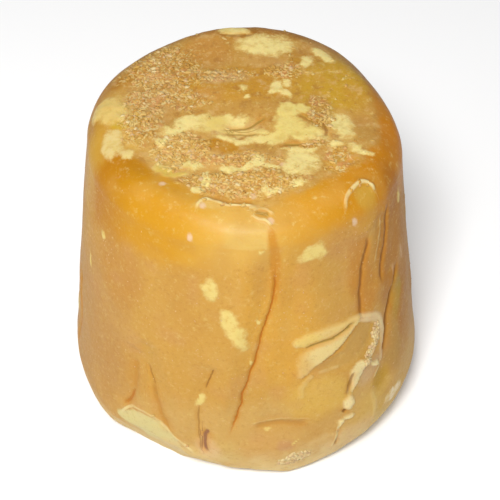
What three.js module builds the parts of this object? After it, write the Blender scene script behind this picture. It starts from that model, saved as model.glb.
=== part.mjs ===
// Jaggery block: cane juice boiled down and set in a lined bucket, then turned out upside down.
// One solid, in millimetres with +Z up. It stands on its flat foot at Z = 0, the origin is under the
// middle of its bounding box, and -Y is the front.
// It is a turned shape, made uneven by the bucket's dents, the lining's folds and the broken lower edge.

import * as THREE from "three";
import { mergeVertices } from "three/addons/utils/BufferGeometryUtils.js";

// Driving sizes.
const HEIGHT = 102; // from the foot to the top face
const BELLY_RADIUS = 53.5; // widest ring, at the upper end of the rounded lower edge
const TOP_RADIUS = 45; // at the upper end of the tapered side
const FOOT_RADIUS = 45; // the flat that the block stands on
const EDGE_HEIGHT = 16.5; // of the rounded lower edge
const SHOULDER_RADIUS = 9; // between the side and the top face

// How finely each stretch of the profile is divided, from the foot's middle to the top's middle.
const AROUND = 96;
const FOOT_STEPS = 3;
const EDGE_STEPS = 7;
const SIDE_STEPS = 22;
const SHOULDER_STEPS = 5;
const TOP_STEPS = 8;

// Where each level stands out of round, in degrees from the front towards +X, with how far the
// bulge reaches round the block and how far it stands out or, below zero, in.
const TOP_BULGES = [
  { at: 60, reach: 22, rise: 1.8 },
  { at: 115, reach: 20, rise: -1.6 },
  { at: 162, reach: 34, rise: 1.4 },
  { at: -115, reach: 20, rise: 0.7 },
];
const BELLY_BULGES = [
  { at: 52, reach: 28, rise: 3.4 },
  { at: 95, reach: 24, rise: 0.9 },
  { at: -50, reach: 25, rise: 1.8 },
  { at: 165, reach: 30, rise: 1.0 },
];
const FOOT_BULGES = [
  { at: 18, reach: 17, rise: 5.9 },
  { at: -28, reach: 20, rise: -1.8 },
  { at: 60, reach: 16, rise: -0.3 },
  { at: 130, reach: 26, rise: 1.6 },
  { at: -125, reach: 24, rise: -1.4 },
];

// Folds that the lining pressed into the side. Each runs between two spots, given as degrees from
// the front and height, and bows sideways at its middle. Its lip stands up on one side of the valley.
const FOLDS = [
  { from: [10, 95], to: [-3, 24], bow: 2.5, width: 8, depth: 1.3, lip: -0.5 },
  { from: [46, 89], to: [41, 58], bow: 0.5, width: 7.5, depth: 1.0, lip: 0.3 },
  { from: [56, 91], to: [50, 66], bow: 0, width: 7.5, depth: 0.9, lip: -0.4 },
  { from: [60, 61], to: [49, 22], bow: -2.5, width: 8, depth: 1.1, lip: 0.3 },
  { from: [-36, 53], to: [-27, 18], bow: 1.5, width: 8, depth: 1.1, lip: 0.3 },
  { from: [-38, 48], to: [-42, 20], bow: 1, width: 7.5, depth: 1.0, lip: 0.2 },
  { from: [-10, 51], to: [-16, 11], bow: -1.8, width: 8, depth: 1.3, lip: 0.3 },
  { from: [98, 84], to: [112, 24], bow: 3, width: 9, depth: 1.2, lip: 0.4 },
  { from: [150, 60], to: [141, 12], bow: -3, width: 9, depth: 1.4, lip: 0.4 },
  { from: [-160, 90], to: [-172, 30], bow: 4, width: 9, depth: 1.3, lip: -0.4 },
  { from: [-118, 48], to: [-108, 14], bow: 2, width: 8, depth: 1.2, lip: 0.3 },
];
const FOLD_STEPS = 36; // straight pieces that a fold is measured along
const FOLD_SHARPNESS = 4; // of the valley and the lip, within the fold's width
const FOLD_END = 0.1; // share of a fold's length that it is faded out over at either end

// Round swellings and hollows: where the middle is, how far it reaches sideways and up, and its rise.
const SWELLINGS = [
  { at: [34, 44], reach: [14, 17], rise: 1.2 }, // the pouch beside the right folds
  { at: [-31, 14], reach: [14, 8], rise: -1.4 }, // broken lower edge, front left
  { at: [54, 14], reach: [12, 8], rise: -0.7 }, // broken lower edge, front right
  { at: [13, 25], reach: [11, 6], rise: -0.8 }, // shallow scoop over the front of the foot
  { at: [-68, 70], reach: [18, 24], rise: 0.8 },
  { at: [120, 40], reach: [20, 20], rise: -1.0 },
  { at: [-150, 70], reach: [22, 20], rise: 0.9 },
  { at: [175, 22], reach: [16, 12], rise: -1.2 },
];

// Uneven top face: waves across it, by length, direction in degrees and rise.
const TOP_RIPPLES = [
  { length: 61, along: 20, rise: 0.5 },
  { length: 37, along: 105, rise: 0.4 },
  { length: 23, along: 62, rise: 0.3 },
];

const SWELLING_SHARPNESS = 1.5; // how fast a swelling falls away within its reach
const UP_FACING = [0.3, 0.95]; // upward slopes between which the side's relief gives way to the top's
const FLAT_FOOT = 3; // height over which the relief fades out above the foot

const radians = THREE.MathUtils.degToRad;
const smoothstep = THREE.MathUtils.smoothstep;

// The profile, from the foot's middle out and up to the top's middle.
function profilePoints() {
  const edgeArc = new THREE.EllipseCurve(
    FOOT_RADIUS, EDGE_HEIGHT, BELLY_RADIUS - FOOT_RADIUS, EDGE_HEIGHT, -Math.PI / 2, 0,
  );
  const shoulderArc = new THREE.EllipseCurve(
    TOP_RADIUS - SHOULDER_RADIUS, HEIGHT - SHOULDER_RADIUS, SHOULDER_RADIUS, SHOULDER_RADIUS,
    0, Math.PI / 2,
  );
  const stretches = [
    line(0, 0, FOOT_RADIUS, 0).getPoints(FOOT_STEPS),
    edgeArc.getPoints(EDGE_STEPS),
    line(BELLY_RADIUS, EDGE_HEIGHT, TOP_RADIUS, HEIGHT - SHOULDER_RADIUS).getPoints(SIDE_STEPS),
    shoulderArc.getPoints(SHOULDER_STEPS),
    line(TOP_RADIUS - SHOULDER_RADIUS, HEIGHT, 0, HEIGHT).getPoints(TOP_STEPS),
  ];
  // Each stretch starts where the one before it ended, so only the first keeps its first point.
  return stretches.flatMap((points, index) => (index ? points.slice(1) : points));
}

function line(x0, y0, x1, y1) {
  return new THREE.LineCurve(new THREE.Vector2(x0, y0), new THREE.Vector2(x1, y1));
}

// A level's bulges summed at an angle round the block, in radians from the front.
function bulgeSum(bulges, angle) {
  return bulges.reduce((sum, bulge) => {
    const turn = shortWay(angle - radians(bulge.at), 2 * Math.PI) / radians(bulge.reach);
    return sum + bulge.rise * Math.exp(-(turn ** 2));
  }, 0);
}

// A distance round a closed loop, taken the short way.
function shortWay(distance, loop) {
  return distance - loop * Math.round(distance / loop);
}

// How far the block stands out of round at an angle and a point of the profile, as a share of radius.
function outOfRound(angle, radius, height) {
  const foot = bulgeSum(FOOT_BULGES, angle);
  const belly = bulgeSum(BELLY_BULGES, angle);
  const top = bulgeSum(TOP_BULGES, angle);
  if (height < EDGE_HEIGHT) {
    const outwards = Math.max(0, (radius - FOOT_RADIUS) / (BELLY_RADIUS - FOOT_RADIUS));
    return (foot * (1 - outwards) + belly * outwards) / Math.max(radius, FOOT_RADIUS);
  }
  const upwards = Math.min(1, (height - EDGE_HEIGHT) / (HEIGHT - SHOULDER_RADIUS - EDGE_HEIGHT));
  return (belly * (1 - upwards) + top * upwards) / Math.max(radius, TOP_RADIUS);
}

// A spot on the side as a flat point: arc length from the front, measured at the belly, and height.
function unrolled(degreesFromFront, height) {
  return new THREE.Vector2(radians(degreesFromFront) * BELLY_RADIUS, height);
}

// Sideways distance between two unrolled points, the short way round.
function acrossTo(from, to) {
  return shortWay(to.x - from.x, 2 * Math.PI * BELLY_RADIUS);
}

function foldCurve(fold) {
  const start = unrolled(...fold.from);
  const end = unrolled(...fold.to);
  const middle = start.clone().add(end).multiplyScalar(0.5);
  middle.x += 2 * fold.bow; // a quadratic curve reaches half way to its control point
  return new THREE.QuadraticBezierCurve(start, middle, end);
}

const FOLD_LINES = FOLDS.map((fold) => ({ ...fold, line: foldCurve(fold).getPoints(FOLD_STEPS) }));

// A fold's relief at an unrolled point: a valley along its line with a lip on one side.
function foldRelief(fold, spot) {
  let nearest = Infinity;
  let across = 0;
  let along = 0;
  fold.line.forEach((point, index) => {
    const aside = acrossTo(point, spot);
    const distance = Math.hypot(aside, spot.y - point.y);
    if (distance < nearest) {
      nearest = distance;
      across = aside;
      along = index / FOLD_STEPS;
    }
  });
  const reach = nearest / fold.width;
  const fadingEnds = smoothstep(Math.min(along, 1 - along), -FOLD_END, FOLD_END);
  const valley = -fold.depth * Math.exp(-FOLD_SHARPNESS * reach ** 2);
  const lip = fold.lip * Math.sign(across) * Math.exp(-FOLD_SHARPNESS * (reach - 1) ** 2);
  return (valley + lip) * fadingEnds;
}

function swellingRelief(swelling, spot) {
  const across = acrossTo(unrolled(...swelling.at), spot) / swelling.reach[0];
  const up = (spot.y - swelling.at[1]) / swelling.reach[1];
  return swelling.rise * Math.exp(-SWELLING_SHARPNESS * (across ** 2 + up ** 2));
}

function sideRelief(angle, height) {
  const spot = new THREE.Vector2(angle * BELLY_RADIUS, height);
  const folds = FOLD_LINES.reduce((sum, fold) => sum + foldRelief(fold, spot), 0);
  return SWELLINGS.reduce((sum, swelling) => sum + swellingRelief(swelling, spot), folds);
}

function topRelief(x, y) {
  return TOP_RIPPLES.reduce((sum, ripple) => {
    const along = x * Math.cos(radians(ripple.along)) + y * Math.sin(radians(ripple.along));
    return sum + ripple.rise * Math.sin((2 * Math.PI * along) / ripple.length);
  }, 0);
}

// The turned shape with its bulges, then with the relief laid on along the surface's own normals.
function blockGeometry() {
  const turned = new THREE.LatheGeometry(profilePoints(), AROUND);
  turned.rotateX(Math.PI / 2);
  turned.deleteAttribute("normal");
  turned.deleteAttribute("uv");
  const geometry = mergeVertices(turned);
  const place = geometry.getAttribute("position");
  for (let i = 0; i < place.count; i++) {
    const radius = Math.hypot(place.getX(i), place.getY(i));
    const angle = Math.atan2(place.getX(i), -place.getY(i));
    const stretch = 1 + outOfRound(angle, radius, place.getZ(i));
    place.setXY(i, place.getX(i) * stretch, place.getY(i) * stretch);
  }
  geometry.computeVertexNormals();
  const normal = geometry.getAttribute("normal").clone();
  for (let i = 0; i < place.count; i++) {
    const height = place.getZ(i);
    const facingUp = smoothstep(normal.getZ(i), ...UP_FACING);
    const side = sideRelief(Math.atan2(place.getX(i), -place.getY(i)), height);
    const top = topRelief(place.getX(i), place.getY(i));
    const relief = (side * (1 - facingUp) + top * facingUp) * smoothstep(height, 0, FLAT_FOOT);
    place.setXYZ(
      i,
      place.getX(i) + normal.getX(i) * relief,
      place.getY(i) + normal.getY(i) * relief,
      height + normal.getZ(i) * relief,
    );
  }
  geometry.computeBoundingBox();
  const middle = geometry.boundingBox.getCenter(new THREE.Vector3());
  geometry.translate(-middle.x, -middle.y, 0);
  geometry.computeVertexNormals();
  return geometry;
}

const jaggery = new THREE.MeshStandardMaterial({ color: 0xdda450, roughness: 0.5, metalness: 0 });
const block = new THREE.Mesh(blockGeometry(), jaggery);
block.name = "jaggery_block";

const group = new THREE.Group();
group.add(block);

export default group;
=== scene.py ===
# %% [markdown]
# # A block of jaggery
#
# Jaggery is cane juice boiled down until it sets. This block set in a bucket lined with a thin sheet,
# and was turned out upside down. So its side carries the lining's folds as fine creases, its shoulder
# is smooth and amber where it lay against the bucket's bottom, and its top face is rough where the
# sugar grained into pale crystals.
#
# We build it as one closed skin, worked out as a function of two numbers: how far down the skin a
# point lies, and in which direction. Every later step adds one more thing to that same skin.

# %% Load the frame
import math

import bpy
import numpy as np
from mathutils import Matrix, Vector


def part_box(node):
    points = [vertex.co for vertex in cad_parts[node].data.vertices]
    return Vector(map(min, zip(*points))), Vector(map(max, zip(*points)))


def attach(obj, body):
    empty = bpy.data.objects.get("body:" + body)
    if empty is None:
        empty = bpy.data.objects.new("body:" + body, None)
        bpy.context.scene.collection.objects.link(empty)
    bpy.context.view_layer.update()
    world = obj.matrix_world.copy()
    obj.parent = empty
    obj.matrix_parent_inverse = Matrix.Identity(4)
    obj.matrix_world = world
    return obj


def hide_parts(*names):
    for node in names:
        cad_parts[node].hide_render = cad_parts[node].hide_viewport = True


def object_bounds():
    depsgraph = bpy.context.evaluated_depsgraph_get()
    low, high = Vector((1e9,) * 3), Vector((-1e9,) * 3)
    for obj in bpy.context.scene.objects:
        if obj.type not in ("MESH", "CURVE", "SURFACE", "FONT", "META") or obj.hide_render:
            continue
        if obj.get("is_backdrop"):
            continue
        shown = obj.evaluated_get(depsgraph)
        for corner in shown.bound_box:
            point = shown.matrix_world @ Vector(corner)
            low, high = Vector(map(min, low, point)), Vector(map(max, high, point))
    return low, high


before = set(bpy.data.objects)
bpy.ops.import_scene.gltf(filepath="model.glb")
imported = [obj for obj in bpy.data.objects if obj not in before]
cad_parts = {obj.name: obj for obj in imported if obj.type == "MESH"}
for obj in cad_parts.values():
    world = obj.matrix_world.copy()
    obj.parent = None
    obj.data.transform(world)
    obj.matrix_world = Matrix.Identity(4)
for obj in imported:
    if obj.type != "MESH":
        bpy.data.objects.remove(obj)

MM = 0.001
cad_low, cad_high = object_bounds()
node_low, node_high = (np.array(corner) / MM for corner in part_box("jaggery_block"))
print("the solid, in mm, lies between", node_low.round(1), "and", node_high.round(1))

# %% [markdown]
# ## Camera
#
# The block is looked down on from about 46 degrees, from close by. A short distance matters: it makes
# the near foot look narrower than the belly and the top look wide. The lens is then as long as it must
# be to fill the frame.


# %% Camera
def add_object(name, data):
    """A new object in the scene that shows the data."""
    thing = bpy.data.objects.new(name, data)
    bpy.context.scene.collection.objects.link(thing)
    return thing


MIDDLE_HEIGHT = 51.0  # mm, the point that the camera looks at
CAMERA_AWAY = 480.0  # mm
CAMERA_RISE = math.radians(46.1)
camera_data = bpy.data.cameras.new("camera")
camera_data.lens = 112.3
camera_data.shift_x = 0.0084
camera_data.shift_y = -0.0174
camera_data.clip_start = 0.01
camera = add_object("camera", camera_data)
camera.location = (
    0,
    -CAMERA_AWAY * math.cos(CAMERA_RISE) * MM,
    (MIDDLE_HEIGHT + CAMERA_AWAY * math.sin(CAMERA_RISE)) * MM,
)
camera.rotation_euler = (math.pi / 2 - CAMERA_RISE, 0, 0)
bpy.context.scene.camera = camera
print("camera at", [round(v / MM) for v in camera.location], "mm")

# %% [markdown]
# ## Light and floor
#
# A soft square lamp above the camera makes what faces us bright, and the flanks fall off. The pale
# world fills the shadows, and a second weak lamp at the left keeps that flank the lighter one.


# %% Light and floor
def soft_light(name, place, aim, size, power):
    """A square lamp at `place`, in mm, turned towards `aim`, with its side in mm and its power in watts."""
    lamp = bpy.data.lights.new(name, "AREA")
    lamp.size = size * MM
    lamp.energy = power
    holder = add_object(name, lamp)
    holder.location = [v * MM for v in place]
    towards = np.array(aim, float) - np.array(place, float)
    holder.rotation_euler = (
        math.atan2(math.hypot(towards[0], towards[1]), -towards[2]),
        0,
        math.atan2(towards[0], -towards[1]) + math.pi,
    )


world = bpy.data.worlds.new("studio")
bpy.context.scene.world = world
world.use_nodes = True
background = world.node_tree.nodes["Background"]
background.inputs["Color"].default_value = (1.0, 1.0, 1.0, 1)
background.inputs["Strength"].default_value = 0.56
soft_light("front_lamp", (-70, -370, 560), (0, 0, 50), 150, 4.05)
soft_light("left_lamp", (-450, -200, 300), (0, 0, 50), 260, 0.4)
bpy.context.scene.view_settings.view_transform = "Standard"

floor_mesh = bpy.data.meshes.new("floor")
FLOOR_REACH = 3  # m, from the middle to each side
floor_corners = [(x * FLOOR_REACH, y * FLOOR_REACH, 0) for x, y in ((-1, -1), (1, -1), (1, 1), (-1, 1))]
floor_mesh.from_pydata(floor_corners, [], [(0, 1, 2, 3)])
floor = add_object("floor", floor_mesh)
floor_finish = bpy.data.materials.new("pale_floor")
floor_finish.use_nodes = True
floor_shader = floor_finish.node_tree.nodes["Principled BSDF"]
floor_shader.inputs["Base Color"].default_value = (0.9, 0.9, 0.9, 1)
floor_shader.inputs["Roughness"].default_value = 0.9
floor_mesh.materials.append(floor_finish)
floor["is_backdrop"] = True
print("one floor, two lamps and a pale world")

# %% [markdown]
# ## Random fields
#
# Set sugar is uneven at every size. One kind of seeded randomness is enough for swells, blotches and
# ragged edges: a smooth field of one size, and sums of a few sizes. It is worked out for all points at
# once.


# %% Random fields
TABLE = 32  # the random numbers repeat after this many cubes
START = 0.37  # of a cube, so that no cube side lies in a plane through the block's middle


def smooth_field(points, size, seed):
    """Random swells from -1 to 1, `size` mm across.

    Space is cut into cubes of that size and each cube corner gets a random number. A point takes a
    blend of its cube's eight corners, weighted by a smooth step of where it lies between them.
    """
    numbers = np.random.default_rng(seed).uniform(-1, 1, (TABLE, TABLE, TABLE))
    scaled = points / size + START
    cube = np.floor(scaled).astype(int)
    part = scaled - cube
    part = part * part * (3 - 2 * part)
    total = np.zeros(len(points))
    for corner in np.ndindex(2, 2, 2):
        weight = np.prod(np.where(corner, part, 1 - part), axis=1)
        total += weight * numbers[tuple(((cube + corner) % TABLE).T)]
    return total


def swells(points, parts, seed):
    """Smooth fields of several sizes added up; each part is its weight and its size in mm."""
    return sum(
        weight * smooth_field(points, size, seed + 7 * row) for row, (weight, size) in enumerate(parts)
    )


def smooth_step(value, low, high):
    """0 below low, 1 above high, and an S curve in between."""
    share = np.clip((value - low) / (high - low), 0, 1)
    return share * share * (3 - 2 * share)


sample = smooth_field(np.random.default_rng(1).random((999, 3)) * 90, 5, 2)
print("a smooth field runs from", sample.min().round(2), "to", sample.max().round(2))

# %% [markdown]
# ## The profile
#
# Cut the block down the middle and its outline is a flat top, a round shoulder, a nearly straight
# tapered side, a rounder lower edge and a flat foot. We draw that line once, and measure along it:
# `down` is the distance in mm over the skin from the middle of the top.

# %% The profile
HEIGHT = 102.0
TOP_RADIUS, BELLY_RADIUS, FOOT_RADIUS = 45.0, 53.5, 45.0
SHOULDER_RADIUS, EDGE_HEIGHT = 9.0, 16.5
quarter = np.linspace(0, np.pi / 2, 40)
profile_radius = np.concatenate((
    [0.0],
    TOP_RADIUS - SHOULDER_RADIUS + SHOULDER_RADIUS * np.sin(quarter),
    FOOT_RADIUS + (BELLY_RADIUS - FOOT_RADIUS) * np.cos(quarter),
    [0.0],
))
profile_height = np.concatenate((
    [HEIGHT],
    HEIGHT - SHOULDER_RADIUS + SHOULDER_RADIUS * np.cos(quarter),
    EDGE_HEIGHT - EDGE_HEIGHT * np.sin(quarter),
    [0.0],
))
profile_down = np.concatenate(([0.0], np.cumsum(np.hypot(np.diff(profile_radius), np.diff(profile_height)))))
SHOULDER_DOWN = TOP_RADIUS - SHOULDER_RADIUS
FOOT_DOWN = profile_down[-2]
print("down the skin: shoulder at", SHOULDER_DOWN, "mm, foot at", round(FOOT_DOWN, 1), "mm")

# %% [markdown]
# ## The grid
#
# A polar grid would crowd its points in the middle of the top, where the crystals need an even one.
# So the top is a square sheet of cells pressed into a disc: squares within squares become rings within
# rings. Its rim hands its points to the columns that run down the side, and the foot closes with rings
# and a fan. Columns stand closer together at the front, where the creases are finest.

# %% The grid
CELLS = 112  # across the top's square sheet
COLUMNS = 4 * CELLS
SIDE_ROWS = 178
FOOT_RINGS = np.array([0.92, 0.72, 0.4])
FRONT_CROWDING = 0.25

across, back = np.meshgrid(np.linspace(-1, 1, CELLS + 1), np.linspace(-1, 1, CELLS + 1))
ring = np.maximum(np.abs(across), np.abs(back))
share_x, share_y = across / np.maximum(ring, 1e-9), back / np.maximum(ring, 1e-9)
top_turn = np.select(
    [share_y <= -1 + 1e-9, share_x >= 1 - 1e-9, share_y >= 1 - 1e-9],
    [45 * share_x, 90 + 45 * share_y, 180 - 45 * share_x],
    270 - 45 * share_y,
)
column_turn = -45 + 360 * np.arange(COLUMNS) / COLUMNS
side_down = np.linspace(SHOULDER_DOWN, FOOT_DOWN, SIDE_ROWS + 1)[1:]
foot_down = FOOT_DOWN + FOOT_RADIUS * (1 - FOOT_RINGS)
lower_down = np.concatenate((side_down, foot_down))

down = np.concatenate((
    (ring * SHOULDER_DOWN).ravel(),
    np.repeat(lower_down, COLUMNS),
    [profile_down[-1]],
))
turn = np.radians(np.concatenate((top_turn.ravel(), np.tile(column_turn, len(lower_down)), [0.0])))
turn = turn - FRONT_CROWDING * np.sin(turn)
turn = (turn + np.pi) % (2 * np.pi) - np.pi  # from the front, positive towards +X
print(len(down), "points")


# %% Faces of the grid
def quads_between(upper, lower):
    """One row of four-sided faces between two rings of point numbers, facing outwards."""
    return np.stack((upper, lower, np.roll(lower, -1), np.roll(upper, -1)), axis=1)


numbers = np.arange((CELLS + 1) ** 2).reshape(CELLS + 1, CELLS + 1)
top_faces = np.stack((numbers[:-1, :-1], numbers[:-1, 1:], numbers[1:, 1:], numbers[1:, :-1]), axis=-1)
rim = np.concatenate((numbers[0, :-1], numbers[:-1, -1], numbers[-1, :0:-1], numbers[:0:-1, 0]))
rings = [rim, *(numbers.size + np.arange(len(lower_down) * COLUMNS).reshape(-1, COLUMNS))]
quads = np.concatenate([top_faces.reshape(-1, 4), *map(quads_between, rings, rings[1:])])
fan = np.stack((np.roll(rings[-1], -1), rings[-1], np.full(COLUMNS, len(down) - 1)), axis=1)
print(2 * len(quads) + len(fan), "triangles")

# %% [markdown]
# ## Out of round
#
# A bucket is never quite round and the block slumps a little as it is turned out. Each level has a few
# bulges and flats, given by direction, reach and rise, and the levels between them blend.

# %% The uneven form
TOP_BULGES = [(60, 22, 1.8), (115, 20, -1.6), (162, 34, 1.4), (-115, 20, 0.7)]
BELLY_BULGES = [(52, 28, 3.4), (95, 24, 0.9), (-50, 25, 1.8), (165, 30, 1.0)]
FOOT_BULGES = [(19, 17, 5.2), (11, 6, 1.5), (-28, 22, 2.0), (60, 16, -0.3), (130, 26, 1.6), (-125, 24, -1.4)]


def short_way(distance, loop):
    """A distance round a closed loop, taken the short way."""
    return distance - loop * np.round(distance / loop)


def bulge_sum(bulges, turn):
    """Bell-shaped bulges summed: rise times e to the minus square of (turn off its middle / reach)."""
    return sum(
        rise * np.exp(-(short_way(turn - math.radians(at), 2 * np.pi) / math.radians(reach)) ** 2)
        for at, reach, rise in bulges
    )


radius = np.interp(down, profile_down, profile_radius)
height = np.interp(down, profile_down, profile_height)
foot, belly, top = (bulge_sum(bulges, turn) for bulges in (FOOT_BULGES, BELLY_BULGES, TOP_BULGES))
outwards = np.clip((radius - FOOT_RADIUS) / (BELLY_RADIUS - FOOT_RADIUS), 0, 1)
upwards = np.clip((height - EDGE_HEIGHT) / (HEIGHT - SHOULDER_RADIUS - EDGE_HEIGHT), 0, 1)
low_stretch = (foot * (1 - outwards) + belly * outwards) / np.maximum(radius, FOOT_RADIUS)
high_stretch = (belly * (1 - upwards) + top * upwards) / np.maximum(radius, TOP_RADIUS)
wide = radius * (1 + np.where(height < EDGE_HEIGHT, low_stretch, high_stretch))
place = np.stack((wide * np.sin(turn), -wide * np.cos(turn), height), axis=1)

slope = np.gradient(profile_height, profile_down), np.gradient(profile_radius, profile_down)
face_out = -np.interp(down, profile_down, slope[0])
face_up = np.interp(down, profile_down, slope[1])
normal = np.stack((face_out * np.sin(turn), -face_out * np.cos(turn), face_up), axis=1)
normal /= np.linalg.norm(normal, axis=1, keepdims=True)
print("bare form, in mm:", place.min(axis=0).round(1), place.max(axis=0).round(1))

# %% [markdown]
# ## Spots on the skin
#
# Every mark on the block has a place. On the side a place is given as (degrees from the front, height);
# we unroll the side to a flat sheet of (arc in mm, height) so that distances are easy. On the top face
# a place is simply (x, y). Both sheets use the same two shapes: a lens-shaped spot and a bent line.

# %% Spots and lines
FAR_AWAY = 99.0  # mm, what a point out of a line's reach gets as its distance
TOP_ABOVE = 80  # mm; marks given in x and y count only above this height, not on the foot
arc = turn * BELLY_RADIUS
AROUND = 2 * np.pi * BELLY_RADIUS
on_top = smooth_step(normal[:, 2], 0.55, 0.95)
on_side = (1 - on_top) * (down < FOOT_DOWN)


def spot(points_x, points_y, x, y, half_x, half_y, tilt=0.0):
    """Distance from a lens-shaped spot's middle as a share of its half sizes: 1 on its outline.

    The point is turned by the spot's tilt, divided by the half length and half width, and the result's
    length is taken.
    """
    off_x, off_y = points_x - x, points_y - y
    cos, sin = math.cos(math.radians(tilt)), math.sin(math.radians(tilt))
    return np.hypot((off_x * cos + off_y * sin) / half_x, (off_y * cos - off_x * sin) / half_y)


def side_spot(degrees, level, half_x, half_y, tilt=0.0, sheet=(arc, height)):
    """A spot on the unrolled side: middle in degrees and height, half sizes in mm."""
    x = math.radians(degrees) * BELLY_RADIUS
    return spot(x + short_way(sheet[0] - x, AROUND), sheet[1], x, level, half_x, half_y, tilt)


def bent_line(points, spacing=0.5):
    """A smooth line through a few points: x and y are cubic-smoothed along the line's length."""
    points = np.array(points, float)
    along = np.concatenate(([0.0], np.cumsum(np.hypot(*np.diff(points, axis=0).T))))
    fine = np.linspace(0, along[-1], max(8, int(along[-1] / spacing)))
    line = np.stack([np.interp(fine, along, points[:, axis]) for axis in (0, 1)], axis=1)
    for _ in range(3):
        smoothed = line.copy()
        span = max(1, len(line) // (3 * len(points)))
        for axis in (0, 1):
            padded = np.pad(line[:, axis], span, mode="reflect", reflect_type="odd")
            smoothed[:, axis] = np.convolve(padded, np.ones(2 * span + 1) / (2 * span + 1), "valid")
        line = smoothed
    return line


def near_line(sheet_x, sheet_y, line, reach):
    """For each point: signed distance to the line, and share of the line's length at its nearest spot.

    Only points within `reach` are measured. The sign is that of the cross product of the line's
    direction with the step from the line to the point, so it tells the two sides apart.
    """
    distance = np.full(len(sheet_x), FAR_AWAY)
    share = np.zeros(len(sheet_x))
    low, high = line.min(axis=0) - reach, line.max(axis=0) + reach
    near = (sheet_x > low[0]) & (sheet_x < high[0]) & (sheet_y > low[1]) & (sheet_y < high[1])
    step = np.stack((sheet_x[near], sheet_y[near]), axis=1)[:, None] - line[None]
    gap = np.hypot(step[..., 0], step[..., 1])
    nearest = gap.argmin(axis=1)
    rows = np.arange(len(nearest))
    direction = np.gradient(line, axis=0)[nearest]
    cross = direction[:, 0] * step[rows, nearest, 1] - direction[:, 1] * step[rows, nearest, 0]
    distance[near] = gap[rows, nearest] * np.where(cross < 0, -1, 1)
    share[near] = nearest / (len(line) - 1)
    return distance, share


def side_line(points, reach=8.0, sheet=(arc, height)):
    """Distance and share along a line on the unrolled side, its points in degrees and height."""
    line = bent_line([(math.radians(degrees) * BELLY_RADIUS, level) for degrees, level in points])
    middle = line[:, 0].mean()
    return near_line(middle + short_way(sheet[0] - middle, AROUND), sheet[1], line, reach)


def top_line(points, reach=5.0):
    """Distance and share along a line on the top face, its points in x and y; the foot below is left out."""
    distance, share = near_line(place[:, 0], place[:, 1], bent_line(points, 0.3), reach)
    return np.where(height > TOP_ABOVE, distance, FAR_AWAY), share


def side_band(points, half_widths, sheet=(arc, height)):
    """Distance from a band's middle line as a share of its half width, which changes along it."""
    distance, share = side_line(points, 8.0, sheet)
    return np.abs(distance) / np.interp(share, np.linspace(0, 1, len(half_widths)), half_widths)


def tapered(share, end=0.12):
    """1 along a line and fading to 0 at its two ends."""
    return smooth_step(np.minimum(share, 1 - share), -0.02, end)


print(int((on_top > 0.5).sum()), "points on the top,", int((on_side > 0.5).sum()), "on the side")

# %% [markdown]
# ## Folds and swellings
#
# The lining's folds pressed broad shallow valleys into the side, and air or slack made swellings and
# hollows. These are the large ones, and the solid has the same.

# %% Broad relief
# Folds: both ends in degrees and height; then bow, half width, depth and the step beside it, in mm.
FOLDS = [
    ((10, 95), (-3, 24), 2.5, 8, 1.0, -0.5),
    ((46, 89), (41, 58), 0.5, 7.5, 0.8, 0.3),
    ((56, 91), (50, 66), 0, 7.5, 0.8, -0.4),
    ((60, 61), (49, 22), -2.5, 8, 1.1, 0.3),
    ((-36, 53), (-27, 18), 1.5, 8, 1.0, 0.3),
    ((-38, 48), (-42, 20), 1, 7.5, 1.0, 0.2),
    ((-10, 51), (-16, 11), -1.8, 8, 1.0, 0.3),
    ((98, 84), (112, 24), 3, 9, 1.2, 0.4),
    ((150, 60), (141, 12), -3, 9, 1.4, 0.4),
    ((-160, 90), (-172, 30), 4, 9, 1.3, -0.4),
    ((-118, 48), (-108, 14), 2, 8, 1.2, 0.3),
]
# Swellings: middle in degrees and height, half sizes and rise in mm.
SWELLINGS = [
    (34, 44, 14, 17, 1.2), (-31, 14, 14, 8, -1.2), (54, 14, 12, 8, -0.6), (13, 25, 11, 6, -0.8),
    (-68, 70, 18, 24, 0.8), (120, 40, 20, 20, -1.0), (-150, 70, 22, 20, 0.9), (175, 22, 16, 12, -1.2),
]
TOP_RIPPLES = [(61, 20, 0.5), (37, 105, 0.4), (23, 62, 0.3)]  # length in mm, heading in degrees, rise in mm

relief = np.zeros(len(down))
for start, end, bow, width, depth, lip in FOLDS:
    middle = ((start[0] + end[0]) / 2 + math.degrees(bow / BELLY_RADIUS), (start[1] + end[1]) / 2)
    distance, share = side_line((start, middle, end), reach=2 * width)
    off = np.abs(distance) / width
    valley = -depth * np.exp(-4 * off**2)
    shoulder = lip * np.sign(distance) * np.exp(-4 * (off - 1) ** 2)
    relief += (valley + shoulder) * tapered(share) * on_side
for *where, rise in SWELLINGS:
    relief += rise * np.exp(-1.5 * side_spot(*where) ** 2) * on_side
for length, heading, rise in TOP_RIPPLES:
    along = place[:, 0] * math.cos(math.radians(heading)) + place[:, 1] * math.sin(math.radians(heading))
    relief += rise * np.sin(2 * np.pi * along / length) * on_top
print("broad relief from", relief.min().round(2), "to", relief.max().round(2), "mm")

# %% [markdown]
# ## Where the sugar turned pale
#
# Here and there the sugar grained into fine pale crystals. The patches have ragged outlines, so we
# shake the flat sheets with smooth fields before we measure each spot. The result is a soft field that
# is 0.5 on an outline; the finish sharpens it later with noise finer than the mesh.

# %% Pale patches
shake = [swells(place, [(1.1, 4.5), (0.8, 2.3), (0.4, 1.3)], seed) for seed in (11, 12, 13)]
top_x, top_y = place[:, 0] + shake[0], place[:, 1] + shake[1]
shaken_side = (arc + 0.8 * shake[0], height + 0.8 * shake[2])
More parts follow.
